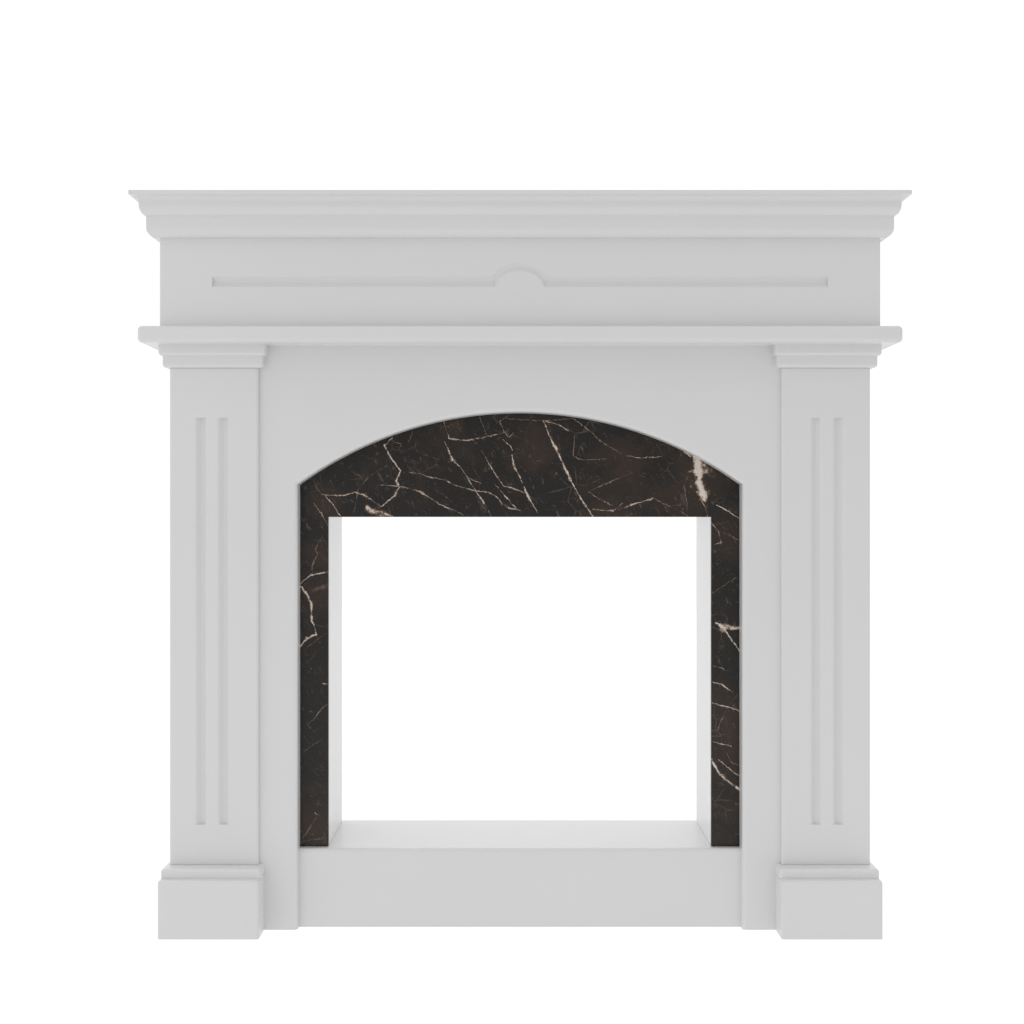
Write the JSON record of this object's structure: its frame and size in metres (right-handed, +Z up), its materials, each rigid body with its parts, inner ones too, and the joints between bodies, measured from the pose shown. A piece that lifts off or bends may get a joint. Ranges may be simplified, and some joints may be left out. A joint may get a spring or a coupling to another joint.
{
  "type": "fireplace mantelpiece",
  "caption": "Painted fireplace surround with fluted pilasters, an arched panel, a stepped cornice, a marble back panel and a raised hearth.",
  "frame": {"origin": "middle of the footprint, on the floor", "axes": "+X along the mantel to the right, +Y back to the wall, +Z up"},
  "size_m": [1.152, 0.2768, 1.1056],
  "materials": {
    "paint": "satin",
    "marble": "polished"
  },
  "bodies": {
    "root": {"front_panel": "paint", "mantel_shelf": "paint", "frieze_front": "paint", "cornice_front": "paint", "top_board": "paint", "firebox_header": "paint", "hearth_front": "paint", "hearth_deck": "paint", "pilaster_left": "paint", "plinth_block_left": "paint", "base_moulding_left": "paint", "capital_lower_left": "paint", "capital_upper_left": "paint", "side_board_left": "paint", "frieze_end_left": "paint", "cornice_return_left": "paint", "firebox_cheek_left": "paint", "hearth_end_left": "paint", "pilaster_right": "paint", "plinth_block_right": "paint", "base_moulding_right": "paint", "capital_lower_right": "paint", "capital_upper_right": "paint", "side_board_right": "paint", "frieze_end_right": "paint", "cornice_return_right": "paint", "firebox_cheek_right": "paint", "hearth_end_right": "paint", "marble_surround": "marble"}
  },
  "joints": []
}
